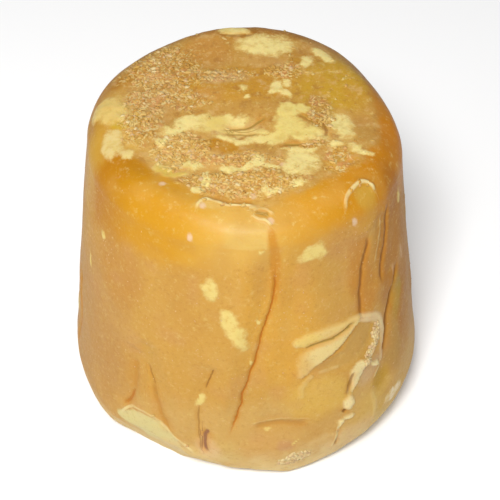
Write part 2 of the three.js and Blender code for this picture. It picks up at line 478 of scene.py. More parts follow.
# Middle, half sizes and tilt of each: on the top in x and y, on the side in degrees and height.
TOP_PALE = [
    (6.5, 32, 8.5, 4.8, -3), (-2.5, 38.2, 4.5, 1.6), (8.8, 12.6, 2, 2.4, -20), (11.4, 10.2, 3.6, 1.3, -55),
    (12.2, 14.4, 1.4, 1.2), (-0.5, 12, 1.3, 1.2), (0.2, 7, 1.1, 0.9), (-14.5, -1.8, 5.5, 3.2, 20),
    (-20, -5.2, 3.8, 1.9, 25), (-9, -2.6, 4.5, 2.6), (-2.4, -1.6, 4.4, 2.2, -8), (0, -5.9, 6, 1.5, -4),
    (-4, -8.8, 4.2, 1.2, -22), (4.5, -9, 6, 1.7, 5), (12.2, 2.4, 2.6, 3), (16.2, 3.2, 2.2, 1.2, -20),
    (12.4, -2.2, 3.4, 2.6), (13.4, -5.4, 5.4, 3.4), (18, -7.6, 4.8, 2.6, -10), (9.5, -8.6, 3.4, 2.4, -20),
    (15.5, -19, 5, 5.2, -5), (15.3, -13.8, 4.6, 1.4), (28.4, -3.8, 3.2, 5.8, 10), (26.2, -3.6, 1.8, 3, 20),
    (25.4, -11.5, 1.7, 1.6), (-23, -10, 2, 1.5), (-22.5, -21.6, 2.6, 2.2), (-18, -23.6, 3.6, 1),
    (-14, -20, 2.8, 1.8, -30), (-9.3, -25, 1.1, 2.6), (-3.2, -21.2, 3.2, 1.6, -15),
    (2.5, -20.6, 4.8, 1.7, 8), (4.2, -18, 1.8, 2), (8, -21.4, 2.6, 0.8), (6.8, -29.6, 2.2, 1.5, -20),
    (14.2, -28.8, 2.6, 1.3, 20), (-12.8, -29.2, 2.2, 1.1, -20), (-37.5, 2.5, 4.6, 5.4, 20),
    (-36.5, -10.5, 2.8, 4.8), (-33, -15.4, 1.6, 2), (24, 27.5, 4.2, 2.2, -45), (18.5, 23.5, 2.2, 2.6),
    (32.5, -14, 3.6, 1.5, -20),
]
SIDE_PALE = [
    (-11.3, 79, 2.9, 3.3), (-5.2, 69, 2.2, 4.4, 24), (-1.8, 62.5, 2.6, 5.4, 22), (23.8, 89.6, 4.6, 2, 24),
    (27, 89.2, 2.2, 2.4), (-14, 35.2, 1, 2.6, -30), (17.5, 10.4, 4.8, 2.8, 14), (55, 17.6, 3.8, 2.4),
    (-58, 80.4, 1.2, 1.6), (-65, 66, 0.7, 3.2, 14), (68, 88, 1.4, 2.6), (4.5, 66.6, 0.8, 0.8),
    (5.5, 92.4, 0.8, 0.7), (7.5, 24.5, 1, 0.7), (2.5, 51.7, 0.7, 0.6), (16.5, 17.8, 1.3, 0.5, 40),
    (88, 70, 3.5, 6, 25), (104, 50, 4, 3), (126, 82, 6, 3.5, -15), (140, 38, 3, 7, -20),
    (166, 66, 5, 4, 10), (-176, 40, 3, 3), (-160, 84, 4.5, 2.5), (-148, 52, 2.4, 5.5, 25), (-128, 74, 3, 3),
    (-112, 34, 4, 2.5, -20), (-95, 60, 2.2, 4.5, 15), (-84, 30, 2.5, 2.5), (150, 14, 9, 2.5),
    (-140, 12, 7, 2.2),
]


def strongest(distances):
    """The soft field of several spots: 0.5 on an outline, 1 well inside, 0 well outside."""
    return smooth_step(-np.min(distances, axis=0), -1.45, -0.55)


pale_top = strongest([spot(top_x, top_y, *each) for each in TOP_PALE]) * smooth_step(height, 96, 99)
# All but the patch at the left rim are broken up by streaks.
streaks = swells(place * [1.6, 1, 1], [(0.5, 3.4), (0.4, 1.7)], 17)
pale_top *= 1 + streaks * (1 - smooth_step(np.hypot(place[:, 0] + 37, place[:, 1] - 2.5), 5, 9))
pale_side = strongest([side_spot(*each, sheet=shaken_side) for each in SIDE_PALE])
pale_side *= 1 - smooth_step(height, 97, 99.5)
pale = np.clip(np.maximum(pale_top, pale_side), 0, 1)
print(round(100 * float((pale > 0.5).mean()), 1), "% of the points are pale")

# %% [markdown]
# ## Crust and amber skin
#
# Where the top grained coarsely the crystals stand up as a crumbly crust. Where the syrup lay against
# the bottom of the bucket it set like amber, smooth and without grain, as a band round the shoulder.
# The crust is a few spots. The band lies between an inner and an outer edge that change with direction.

# %% Crust and amber
# Middle, half sizes and tilt of each crust, in x and y.
CRUSTS = [
    (-24, 20, 11, 13, -25), (-29, 2, 6, 14), (-6, 18.5, 10, 2.8), (-18, -14, 8.5, 8, -10), (12, 19.5, 5, 4),
    (22, 1, 4, 7.5), (0, -27, 17, 5), (26, -19, 4, 6.5), (-2, -17, 12, 2.8), (22, -11.5, 5, 2),
    (-19, 8, 7.5, 5, -15),
]
# Direction in degrees, inner and outer edge in mm down the skin, and the colour on screen.
AMBER_BAND = np.array([
    (-180, 43, 60, 196, 134, 40), (-110, 43, 61, 196, 134, 40), (-88, 40, 60, 202, 144, 36),
    (-66, 35.5, 63, 204, 132, 6), (-55, 33.5, 61, 212, 143, 8), (-43, 31.5, 60, 230, 162, 26),
    (-26, 32.5, 58, 232, 166, 38), (-8, 35.3, 56, 243, 190, 90), (8, 36, 54, 243, 190, 92),
    (22, 34, 50.5, 236, 172, 60), (42, 34, 48.5, 231, 156, 20), (62, 36.5, 54, 214, 138, 14),
    (85, 38, 57, 220, 136, 10), (120, 41, 60, 196, 132, 36), (180, 43, 60, 196, 134, 40),
])
band_turn = np.degrees(turn)
inner, outer = (np.interp(band_turn, AMBER_BAND[:, 0], AMBER_BAND[:, column]) for column in (1, 2))
back_waves = smooth_field(place, 17, 75) * smooth_step(np.abs(band_turn), 75, 110)
outer = outer + 5 * back_waves  # mm
shaken_down = down + 0.9 * shake[1]
amber = smooth_step(shaken_down, inner - 1.2, inner + 1.6)
amber *= 1 - smooth_step(shaken_down, outer - 5, outer + 5)
crystal = strongest([spot(top_x, top_y, *each) for each in CRUSTS]) * smooth_step(height, 97, 100)
crystal *= 1 - smooth_step(shaken_down, inner - 1, inner + 2)
print("crusted points:", int((crystal > 0.5).sum()), " amber points:", int((amber > 0.5).sum()))

# %% [markdown]
# ## Creases and lips
#
# A crease is a fine groove where two folds of the lining met. Beside it one edge stands up a little.
# Three of the dark lines are painted shade: a band above the front lip, a band under the scoop's lip
# and the olive line under the pouch's upper tongue. Lips are the opposite: thin ridges of sugar that
# ran into a fold and stayed; their bright line is partly pale sugar and partly a painted highlight along
# the crest. For both we keep the signed distance, so that the finish can draw a line thinner than the
# mesh's own cells.

# %% Creases
FAR_WIDTHS = 9.0  # a point far from every line lies this many half widths away
RED, ORANGE, BROWN = (212, 124, 30), (206, 124, 38), (160, 110, 48)
AMBER, MAUVE, OLIVE = (208, 142, 52), (166, 112, 82), (180, 146, 66)
UMBER = (164, 104, 42)
# For each sheet: points as (degrees, height) or (x, y); then the half width of the line, the depth of the
# groove and the height of the lip beside it, in mm, its colour on screen, and how strong that is.
CREASES = {}
CREASES["side"] = [
    ([(11.2, 87), (11, 84), (10.5, 76.6), (9, 70.4), (7, 64.7), (6, 60.4), (4.2, 54), (1.5, 46), (0.8, 42),
      (-0.2, 37.4), (-1.5, 33.6), (-2.5, 29.3), (-4.8, 22.6)], 0.25, 0.45, 0.2, RED, 0.9),
    ([(47.6, 86), (46.8, 82.8), (45.4, 80), (44.4, 77), (43.4, 72.8), (42.8, 68.5), (42.2, 64), (41.4, 58)],
      0.5, 0.4, 0.15, UMBER, 0.85),
    ([(59, 92), (58.2, 87.1), (56.4, 81.4), (55.4, 78), (54, 75.2), (53, 71.4), (52.4, 65.5)],
      0.45, 0.4, 0.25, UMBER, 0.85),
    ([(62.6, 67), (60.7, 63), (59.2, 60), (58.4, 55.6), (56.6, 53), (55, 50), (53.8, 46), (52.6, 42),
      (51.4, 37)], 0.7, 0.8, 0.2, UMBER, 0.85),
    ([(-33.2, 43), (-32.5, 39.8), (-31, 37.6), (-30.5, 34), (-29.8, 31)], 0.26, 0.25, 0.1, BROWN, 0.5),
    ([(-31, 36), (-30, 31), (-28.5, 25), (-27.3, 22.5), (-26.3, 20), (-24.5, 17.2)],
      0.7, 0.3, 0.1, AMBER, 0.5),
    ([(-38.3, 42), (-38.5, 35), (-39, 29)], 0.8, 0.25, 0.1, AMBER, 0.4),
    ([(-38.8, 30), (-39.2, 27.6), (-40, 24.9), (-42, 21.4)], 0.42, 0.35, 0.1, ORANGE, 0.7),
    ([(-9.8, 49), (-11, 46), (-12.3, 42.2), (-12.6, 39.8)], 0.24, 0.3, 0.1, BROWN, 0.65),
    ([(-14.5, 33), (-15, 28.6), (-14.6, 23), (-14.5, 13.2)], 0.26, 0.3, 0.1, BROWN, 0.5),
    ([(-11.3, 23.6), (-12.5, 21), (-13, 17.6), (-12.5, 14.2), (-11.3, 14)], 0.5, 0.7, 0.3, MAUVE, 0.9),
    # Painted shade: the olive line in the fold under the pouch's upper tongue.
    ([(38.6, 59.3), (35, 58), (32, 57), (29, 56.5), (26, 56.4), (22.5, 56), (20.5, 55.4)],
      0.4, 0.5, 0, OLIVE, 0.9),
    ([(25.5, 48.8), (29, 50.5), (32, 52), (35, 54.4), (37.5, 56.2), (40.5, 58.2)], 0.3, 0.2, 0, BROWN, 0.3),
    # Painted shadow: an amber-brown band under the lip of the scoop.
    ([(3.5, 26.2), (8, 26.4), (13, 26.2), (21, 23.8)], 0.9, 0.3, 0, AMBER, 0.45),
    ([(36.8, 41), (35.6, 36.9), (34.8, 31.2)], 0.4, 0.5, 0, BROWN, 0.7),
    ([(34, 25.6), (33, 24.4)], 0.5, 0.4, 0, BROWN, 1),
    ([(31.6, 19.8), (30.3, 15), (31, 11)], 0.3, 0.4, 0.1, BROWN, 0.6),
    ([(76, 84), (80, 62), (78, 40)], 0.4, 0.6, 0.2, BROWN, 0.6),
    ([(98, 88), (102, 60), (112, 22)], 0.4, 0.7, 0.25, RED, 0.8),
    ([(132, 92), (129, 76), (130, 64)], 0.35, 0.5, 0.15, BROWN, 0.7),
    ([(150, 64), (147, 36), (141, 12)], 0.45, 0.8, 0.3, BROWN, 0.8),
    ([(-160, 94), (-164, 60), (-172, 28)], 0.36, 0.7, 0.25, RED, 0.9),
    ([(178, 72), (173, 55), (172, 42)], 0.35, 0.5, 0.1, BROWN, 0.6),
    ([(-140, 62), (-137, 40), (-142, 16)], 0.6, 0.6, 0.2, AMBER, 0.7),
    ([(-118, 52), (-114, 32), (-108, 13)], 0.4, 0.7, 0.2, BROWN, 0.7),
    ([(-96, 84), (-92, 60), (-95, 38)], 0.4, 0.5, 0.2, BROWN, 0.6),
    ([(-76, 52), (-73, 34), (-77, 18)], 0.7, 0.6, 0.15, AMBER, 0.5),
]
CREASES["top"] = [
    # Painted shadow: a dark band just above the front lip, where the lip's step shades the top.
    ([(-9.6, -32.1), (-6.4, -33), (-3.6, -34.3), (-1, -34), (3, -34.4)], 0.6, 0.15, 0, AMBER, 0.5),
    ([(3.4, -37.2), (5, -37.7), (7, -38)], 0.5, 0.2, 0, OLIVE, 0.7),
    ([(-5.6, -5.2), (-0.1, -5), (2.5, -3.6), (4.2, -2.1), (6.4, -0.3)], 0.32, 0.3, 0, OLIVE, 0.8),
    ([(-5.4, -6.6), (0, -7.2), (4.4, -6.7)], 0.3, 0.25, 0, OLIVE, 0.7),
    ([(11, -11.1), (15.7, -11.5), (20.5, -11.4)], 0.4, 0.3, 0, OLIVE, 0.8),
    ([(15.5, 0.6), (19, -1.4), (21.6, -5)], 0.35, 0.25, 0, OLIVE, 0.5),
    ([(-7, 36.4), (-2, 36), (3, 36.6)], 0.4, 0.3, 0, BROWN, 0.6),
    ([(22.5, -1), (23.5, -6), (23, -9)], 0.4, 0.3, 0, BROWN, 0.6),
]
print(len(CREASES["side"]), "creases on the side,", len(CREASES["top"]), "on the top")

# %% Press the creases in
GROOVE_WIDER = 0.35  # mm; a groove is this much wider than its dark line, on either side
LIP_OFF, LIP_WIDTH = 2.2, 1.2  # the lip's distance and width, as shares of the groove's half width
wobble = swells(place, [(0.45, 6), (0.3, 2.4)], 31)


def shaken_line(points, sheet):
    """Distance and share along a line on the "top" or the "side", the distance shaken by the wobble."""
    distance, share = top_line(points) if sheet == "top" else side_line(points)
    return distance + wobble * (0.6 if sheet == "top" else 1), share


crease = np.full(len(down), FAR_WIDTHS)
crease_dark = np.zeros(len(down))
crease_colour = np.zeros((len(down), 3))
for sheet, rows in CREASES.items():
    for points, width, depth, lip, colour, darkness in rows:
        distance, share = shaken_line(points, sheet)
        strength = tapered(share) * (on_top if sheet == "top" else on_side)
        off, groove = np.abs(distance), width + GROOVE_WIDER
        relief -= depth * np.exp(-((off / groove) ** 2)) * strength
        relief += lip * np.exp(-(((distance + LIP_OFF * groove) / (LIP_WIDTH * groove)) ** 2)) * strength
        nearer = off / width < np.abs(crease)
        crease = np.where(nearer, distance / width, crease)
        crease_dark = np.where(nearer, strength * darkness, crease_dark)
        crease_colour[nearer] = colour
crease_dark *= 1 - smooth_step(np.abs(crease), 4.5, 7.5)
print("the deepest point of all relief lies at", relief.min().round(2), "mm")

# %% Lips
# For each sheet: points, half width and rise in mm, and how bright the line is painted: pale sugar with a
# painted highlight along its crest.
LIPS = {}
LIPS["top"] = [
    ([(-12.6, -36.2), (-11.8, -34.4), (-10.4, -33.3), (-8.6, -33.5), (-6.9, -34.1), (-4, -35.4),
      (-1.2, -35.1), (3.7, -35.5)], 0.4, 0.75, 1),
    ([(2.3, -38.3), (3.8, -39.4), (5.9, -39.6), (7.4, -41)], 0.4, 0.5, 0.9),
    ([(2.6, -36.8), (4.2, -36), (6.3, -36.4), (8, -38)], 0.36, 0.4, 0.6),
    ([(27.6, -33.6), (28, -30.6), (29.4, -28.4), (31, -26.6), (32.8, -25.6), (34.6, -25.8), (36, -26.6)],
      0.5, 0.9, 1),
]
LIPS["side"] = [
    ([(43.5, 41), (45.5, 38.2), (47.5, 36.6), (49.2, 34.2), (47, 33.6), (45.6, 31.6)], 0.5, 0.5, 0.7),
    ([(24.6, 45), (28, 44.6), (32, 44.4)], 0.5, 0.2, 0.3),
    ([(22.8, 45), (20.5, 42.6), (18.6, 39.6), (18.6, 35.6)], 0.9, 0.3, 0.25),
    ([(35.8, 61.2), (40, 60.4), (45, 58), (48.6, 56), (51, 52.6), (52, 48), (51.6, 43), (51, 37)],
      0.45, 0.25, 0.4),
    ([(31.8, 20.4), (31, 18.2), (30, 15), (29.4, 11)], 0.5, 0.35, 0.8),
    ([(2.6, 27), (7, 28), (13, 28.4), (22, 26)], 0.35, 0.3, 0.25),
    ([(55, 90), (54, 86), (51.6, 80), (50, 75)], 0.35, 0.25, 0.4),
    ([(-43.4, 17), (-41, 21.6), (-36, 22.9), (-30.5, 22.6), (-27, 19.6), (-21, 15.2), (-16, 11.2)],
      0.45, 0.35, 0.8),
    ([(44.3, 26), (45.4, 19), (44.6, 14)], 0.8, 0.3, 0.3),
    ([(36, 35), (35.8, 31), (35, 26)], 0.9, 0.4, 0.3),
    ([(120, 58), (126, 62), (134, 60), (139, 52)], 0.5, 0.5, 0.8),
    ([(-132, 30), (-126, 36), (-118, 36)], 0.5, 0.5, 0.8),
]
lip_line = np.full(len(down), FAR_WIDTHS)
lip_pale_and_glint = np.zeros(len(down))
for sheet, rows in LIPS.items():
    for points, width, rise, bright in rows:
        distance, share = shaken_line(points, sheet)
        strength = tapered(share, 0.06) * (0.7 + 0.45 * smooth_field(place, 1.8, 41))
        relief += rise * strength * np.exp(-((distance / (width + 0.2)) ** 2))
        nearer = np.abs(distance) / width < np.abs(lip_line)
        lip_line = np.where(nearer, distance / width, lip_line)
        lip_pale_and_glint = np.where(nearer, strength * bright, lip_pale_and_glint)
lip_pale_and_glint *= 1 - smooth_step(np.abs(lip_line), 3, 6)
print(sum(map(len, LIPS.values())), "lips, the highest point at", relief.max().round(2), "mm")

# %% [markdown]
# ## The pouch
#
# At the lower right a fold of the lining left a pouch: two pale tongues of fine sugar over a smooth,
# darker hollow, closed at its right by a crust of coarse crystals. Each is a band, a bent line whose
# width changes along it.

# %% The pouch
pouch_sheet = (arc + 0.25 * shake[0], height + 0.25 * shake[2])
upper_tongue = strongest([
    side_band([(40.8, 59.8), (38, 60), (35.5, 59.8), (30.5, 59.2), (26, 58.7), (21.5, 58.2), (18, 57.6)],
              [0.4, 1.0, 1.6, 2.2, 2.2, 2.2, 1.2], pouch_sheet),
])
lower_tongue = strongest([
    side_band([(40.2, 58.8), (37.5, 57.4), (34.5, 55.6), (30.5, 53.6), (27, 52.4), (24, 51.4), (21.5, 50),
               (20, 48), (19.4, 45.6)], [0.6, 1.3, 2.2, 3.0, 3.6, 3.9, 3.6, 2.6, 1.5], pouch_sheet),
])
# The lower tongue ends in a step along this line.
off_edge, _ = side_line([(40.8, 58.4), (37.5, 56.4), (35, 54.5), (32, 52.2), (29, 50.7), (26, 49.1),
                         (23, 47.3), (20, 45)], 12, pouch_sheet)
lower_tongue *= 1 - smooth_step(off_edge, -0.3, 0.3)
tongue = np.maximum(upper_tongue, lower_tongue)
film = strongest([
    side_band([(36, 60.6), (40, 59.8), (44.8, 57.2), (48.2, 55), (50.2, 52), (51, 48), (50.8, 43), (50, 36)],
              [0.5, 1.0, 1.6, 1.5, 1.3, 1.2, 1.2, 0.8], pouch_sheet),
]) * (1 - tongue)
hollow = strongest([side_spot(41, 50.5, 7, 4.8, 50), side_spot(34, 46.8, 7.5, 3, 5)])
hollow *= (1 - tongue) * (1 - film)
grit = strongest([
    side_band([(48, 52.6), (47.6, 50.4), (47.4, 48.4), (46.5, 46.5), (45, 44.4), (43.4, 42.6), (42, 41.4)],
              [0.8, 1.2, 1.3, 1.5, 1.4, 1.2, 0.9], pouch_sheet),
])
cream = strongest([
    side_band([(43, 42), (40.6, 41.4), (38.4, 40.6), (37.6, 37.8), (37, 35.5), (36.2, 33)],
              [0.8, 2.2, 3.1, 2.0, 1.1, 0.5], pouch_sheet),
    side_spot(35.3, 27.8, 1.9, 3.1, 5, pouch_sheet), side_spot(35, 21.9, 1.7, 0.9, 0, pouch_sheet),
    side_spot(32.2, 21, 1.0, 1.2, 0, pouch_sheet), side_spot(46.2, 37.4, 2.2, 0.8, -35, pouch_sheet),
])
cream = smooth_step(cream, 0.25, 0.75)
relief += 0.55 * upper_tongue + 0.6 * lower_tongue - 0.7 * hollow + 0.3 * grit + 0.25 * film
relief += cream * (0.6 + 0.4 * smooth_field(place, 2.4, 91))
pale = np.maximum(pale, 0.6 * grit)
print("pouch points:", int((np.maximum(tongue, hollow) > 0.5).sum()))

# %% [markdown]
# ## Broken lower edge
#
# The lower edge was knocked and broke away in flat faces, where the pale inside shows. A flat break is
# simply a plane: what stands beyond it is pressed back onto it.

# %% Broken faces
flat_foot = smooth_step(height, 0, 3)  # no relief on the foot, so that the block stands flat
place = place + normal * (relief * flat_foot)[:, None]
# Direction in degrees, how far the face tips down, and its distance from the axis at the foot, in mm.
BREAKS = [(-31, 24, 47.3), (-17, 30, 47.2), (-3, 34, 48.6), (56, 38, 47.5), (150, 44, 43.5), (-140, 40, 44.0)]
DEEPEST_CUT = 4  # mm
broken = np.zeros(len(down))
for at, tip, away in BREAKS:
    tip, at = math.radians(tip), math.radians(at)
    facing = np.array([math.sin(at) * math.cos(tip), -math.cos(at) * math.cos(tip), -math.sin(tip)])
    beyond = place @ facing - away * math.cos(tip) + 0.35 * smooth_field(place, 3.5, 51)
    cut = np.clip(beyond, 0, DEEPEST_CUT)
    place -= cut[:, None] * facing
    broken = np.maximum(broken, smooth_step(beyond, -0.1, 0.5) * (place[:, 2] > 0.5))
print("broken away:", int((broken > 0.5).sum()), "points")

# %% [markdown]
# ## Fine relief
#
# Last comes what the eye reads as texture: gentle swells everywhere, a raised crumb on the crust, a
# slight step at the edge of each pale patch, and fine grain on all but the amber skin.

# %% Fine relief
curls = 1 - smooth_step(np.abs(swells(place, [(0.8, 2.0), (0.4, 1.3)], 63)), 0.02, 0.42)
fine = swells(place, [(0.28, 17), (0.12, 6)], 64)
fine += (0.05 + 0.06 * on_top) * smooth_field(place, 2.3, 66) * (1 - 0.8 * amber)
fine += crystal * (0.32 * curls - 0.12 + 0.25 * smooth_field(place, 3.2, 61))
fine += 0.16 * smooth_step(pale, 0.3, 0.7) + 0.1 * pale * smooth_field(place, 1.6, 67)
fine += broken * 0.1 * smooth_field(place, 2.0, 68)
place = place + normal * (fine * flat_foot)[:, None]

middle = (place.min(axis=0) + place.max(axis=0)) / 2
place[:, :2] -= middle[:2]
place[:, 2] = np.maximum(place[:, 2], 0)
print("finished form, in mm:", place.min(axis=0).round(1), place.max(axis=0).round(1))
print("the solid, in mm:    ", node_low.round(1), node_high.round(1))

# %% [markdown]
# ## The ground colour
#
# Under all the marks the sugar itself changes slowly: tan on the side, glassy amber on the shoulder,
# orange-brown in the middle of the top and olive gold at its right. We mix these in soft zones and
# keep the result as a colour per point. Painted shade darkens the flanks and the right shoulder, painted
# light brightens the low rim, and single grains carry painted glints. Colours are written as they look in
# bright light on screen; the sugar itself gives back only about half of that light.

# %% Zones of colour
GIVEN_BACK = 0.56  # the part of the light in a screen colour that the sugar itself gives back


def linear(red, green, blue):
    """The sugar's own colour from its screen colour, 0 to 255: share to the power 2.2, times a part."""
    return GIVEN_BACK * (np.array((red, green, blue)) / 255.0) ** 2.2


def zone(distance, edge=0.35):
    """1 inside a spot and 0 outside, blending over a wide border."""
    return 1 - smooth_step(distance, 1 - edge, 1 + edge)


def top_zone(*where, edge=0.35):
    """1 inside a spot on the top face, its outline shaken, and 0 outside."""
    return zone(spot(top_x, top_y, *where), edge)


def side_zone(*where, edge=0.35):
    """1 inside a spot on the side and 0 outside."""
    return zone(side_spot(*where), edge)


# Colour on screen, middle, half sizes and tilt of each, the later ones over the earlier ones.
TOP_ZONES = [
    ((220, 160, 54), -2, 14, 19, 8),  # smooth orange-brown
    ((210, 152, 66), -12, 29, 11, 6, 30),
    ((216, 168, 54), 27, 13, 11, 14, -30),  # olive gold
    ((210, 154, 58), 14, 24, 8, 6),
    ((186, 128, 46), 2, 40, 24, 4),
    ((200, 138, 46), -34, 17, 3.5, 10, -38),
    ((222, 170, 96), -27, 8, 8, 14, -10),
    ((224, 178, 110), -6, 17.5, 8, 3),
    ((222, 172, 92), 6, 25, 7, 3),
    ((236, 200, 128), -3, -4.5, 7, 3),
    ((242, 194, 106), -17, -15, 10, 9),
    ((238, 184, 100), -2, -18, 14, 4),
    ((212, 148, 40), -6, -11.3, 6.5, 2.2, -12),  # one clear orange lens
    ((234, 180, 88), 0, -29, 17, 5),
    ((204, 152, 70), 21.5, 2, 3.5, 7.5),
    ((236, 188, 92), -36, -3, 8, 14),
    ((232, 188, 52), -34.5, -3.6, 2.4, 1.8),
    ((230, 170, 66), 27, -19, 4.5, 7),
    ((232, 186, 98), 27, -5, 5, 8),
    ((224, 172, 66), 34, -28.6, 3.4, 2.2, 35),
]
SIDE_ZONES = [
    ((229, 181, 100), 18, 22, 60, 13),
    ((237, 177, 74), 12, 66, 13, 26, 8),
    ((214, 160, 86), -62, 40, 20, 36),
    ((200, 136, 54), 62, 68, 11, 36),
    ((204, 156, 78), 56, 38, 4, 14),
    ((196, 154, 62), 61, 55, 2.6, 8, -6),
    ((232, 188, 98), 48, 17, 11, 10),
    ((240, 198, 130), 35, 12.5, 9, 5, 22),
    ((228, 186, 126), 43.5, 36, 4.5, 4.5),
    ((214, 164, 56), 50, 28.5, 4, 4),
    ((232, 190, 108), -5, 14.5, 5, 5.5),  # flat faces above the foot
    ((231, 179, 100), 8, 17, 9, 5.5),
    ((224, 168, 106), 13.5, 17, 3, 2),
    ((242, 198, 136), -12, 15, 3.6, 5),
    ((216, 150, 62), 44, 73, 5, 16, 4),
    ((218, 158, 74), -47, 75, 10, 14),
    ((242, 192, 90), 25, 34, 10, 9),
    ((236, 194, 116), -21, 12, 6, 4, -20),
]
print(len(TOP_ZONES), "zones of colour on the top,", len(SIDE_ZONES), "on the side")

# %% Marks with a colour of their own, and painted light and shade
# Painted highlights: single pinkish grains with their glints painted in, by x and y on the top and its rim,
# by direction and height on the shoulder.
PINK_GRAIN_GLINTS = [
    *(spot(place[:, 0], place[:, 1], *middle, 0.9, 0.8) + (down > SHOULDER_DOWN + 10) * 9
      for middle in [(10.2, -20.4), (2.0, -32.0), (-22.7, -27.5), (-12.7, -29.1), (-11.6, -35.6),
                     (6.6, -39.9)]),
    side_spot(-19, 96, 0.9, 1.1), side_spot(41.5, 94.2, 0.9, 1.4, 10),
]
amber_colour = np.stack(
    [np.interp(band_turn, AMBER_BAND[:, 0], AMBER_BAND[:, column]) for column in (3, 4, 5)], axis=1,
)
flat_sheet = (  # a clear rectangular patch on the front of the shoulder
    smooth_step(arc, -8, -4) * (1 - smooth_step(arc - 0.18 * (height - 94.4), 7.3, 8.0))
    * smooth_step(height, 93.9, 94.7) * (1 - smooth_step(height, 99, 101.3))
)
chip = strongest([  # a knocked-off face at the lower left, pale inside
    side_band([(-42.5, 16.5), (-38, 17), (-32, 15.6), (-27, 12), (-22, 7)], [2.0, 5.2, 6.6, 5.4, 3.0]),
])
chip = smooth_step(chip, 0.35, 0.65)
# Painted shade: the flanks, turned away from the lamp, get a greyer, darker tan.
flank_shade = smooth_step(np.abs(band_turn + 4), 62, 86) * on_side
blotch = swells(place, [(0.8, 14), (0.5, 4.5)], 71)
top_base = smooth_step(place[:, 2], 98, 100.5)
high = height > TOP_ABOVE
# Painted light: a pale glow along the low rim, strongest at the front, towards the lamp.
low_rim_light = 0.3 + 0.5 * (1 - smooth_step(np.abs(band_turn), 50, 90))  # palest at the front
low_rim_light *= 1 - smooth_step(place[:, 2] + 2.5 * shake[2] + 3 * smooth_field(place, 9, 73), 2, 17)
back_ring = smooth_step(down, 38, 42) * (1 - smooth_step(down, 44, 49))  # of the shoulder
back_ring *= smooth_step(np.abs(band_turn), 100, 125)  # at the back
glow = side_band([(10, 98), (11, 91), (11.2, 84), (10.6, 75)], [1.3, 1.8, 1.5, 0.9])  # at the main crease
pink_streaks = np.minimum(side_spot(59.8, 65.6, 0.6, 2.3), side_spot(67, 67.4, 0.7, 3.4, 12))
print("marked points:", int(((flat_sheet > 0.5) | (chip > 0.5)).sum()))

# %% Ground colour
# From the first to the last, each layer covers the ones before it by its share.
layers = [
    ((214, 162, 78), top_base),
    *((colour, top_zone(*where) * top_base) for colour, *where in TOP_ZONES),
    # painted shade on the flanks
    ((196, 146, 94), 0.85 * flank_shade),
    *((colour, zone(side_spot(*where, sheet=shaken_side)) * on_side) for colour, *where in SIDE_ZONES),
    (amber_colour, 0.95 * amber),
    # painted shade at the right shoulder, turned from the lamp
    ((176, 108, 40), 0.5 * side_zone(64, 93, 5, 8)),
    ((244, 202, 110), 0.85 * flat_sheet),
    ((238, 188, 104), 0.26 * smooth_step(blotch, 0.1, 0.8)),
    ((206, 146, 70), 0.26 * smooth_step(-blotch, 0.1, 0.8)),
    ((222, 162, 102), 0.3 * smooth_step(smooth_field(place, 6, 72), 0.1, 0.9) * (1 - amber)),
    ((222, 172, 88), 0.9 * hollow),
    ((252, 220, 164), 0.85 * film),
    ((228, 182, 76), 0.7 * high * zone(spot(place[:, 0], place[:, 1], 32.6, -28.8, 3.4, 2.2, 40))),
    ((248, 206, 118), 0.6 * high * top_zone(-9, -34.8, 5, 1.8)),
    ((244, 196, 106), 0.5 * high * top_zone(6.1, -34.8, 3.6, 1.8)),
    ((234, 186, 74), 0.6 * high * top_zone(-41.5, -10.5, 3.5, 7, -10, edge=0.6)),
    ((150, 106, 50), 0.35 * back_ring),
    ((222, 160, 90), 0.4 * side_zone(37, 88, 8, 5.5, -30, edge=0.7)),
    ((222, 146, 42), 0.7 * zone(glow, 0.5)),
    # painted highlights on single grains
    ((255, 216, 174), 0.9 * zone(np.min(PINK_GRAIN_GLINTS, axis=0))),
    ((232, 186, 130), 0.8 * zone(pink_streaks)),
    ((252, 218, 136), 0.9 * upper_tongue),
    ((250, 214, 112), 0.6 * upper_tongue * side_zone(21.5, 58.3, 4, 2.6)),
    ((256, 228, 152), 0.95 * lower_tongue * (1 - 0.55 * side_zone(18.8, 48.5, 3.6, 5, edge=0.6))),
    ((264, 240, 172), 0.95 * cream),
    # painted light along the low rim
    ((260, 232, 164), low_rim_light),
    ((240, 204, 132), 0.5 * broken),
    ((242, 224, 152), 0.95 * chip),
    ((244, 204, 142), 0.6 * chip * side_zone(-23, 9, 7, 5)),
    ((238, 200, 136), 0.7 * side_zone(17.5, 10.5, 5, 2.6, 12)),
]
ground = np.tile(linear(226, 171, 80), (len(down), 1))
for colour, share in layers:
    layer = linear(*colour.T).T if isinstance(colour, np.ndarray) else linear(*colour)
    ground += (layer - ground) * np.clip(share, 0, 1)[:, None]
print("mean ground colour:", ground.mean(axis=0).round(3))

# %% Colour of the pale patches and of the crease lines
pale_colour = np.tile(linear(266, 243, 158), (len(down), 1))
for colour, share in [
    ((252, 216, 126), top_zone(-37.5, 2.5, 7, 8, 20)),
    ((240, 202, 96), top_zone(-20, -22.6, 6, 2.6)),
    ((248, 218, 122), top_zone(-8, -2.8, 4, 4, edge=0.8)),
    ((250, 219, 130), (1 - on_top) * (1 - smooth_step(pale, 0.6, 1.0))),
    ((255, 228, 136), (1 - on_top) * smooth_step(pale, 0.6, 1.0)),
    ((246, 212, 146), grit),
    ((244, 208, 146), side_zone(17.5, 10.5, 7, 4.5, 12)),
    ((248, 221, 146), top_zone(-36, -11, 5, 7)),
    ((255, 230, 136), top_zone(13, -2, 11, 9)),
    ((262, 240, 196), side_zone(55, 17.6, 7, 5)),
]:
    pale_colour += (linear(*colour) - pale_colour) * np.clip(share, 0, 1)[:, None]
crease_colour = linear(*crease_colour.T).T
grained = top_base * (1 - 0.85 * amber)
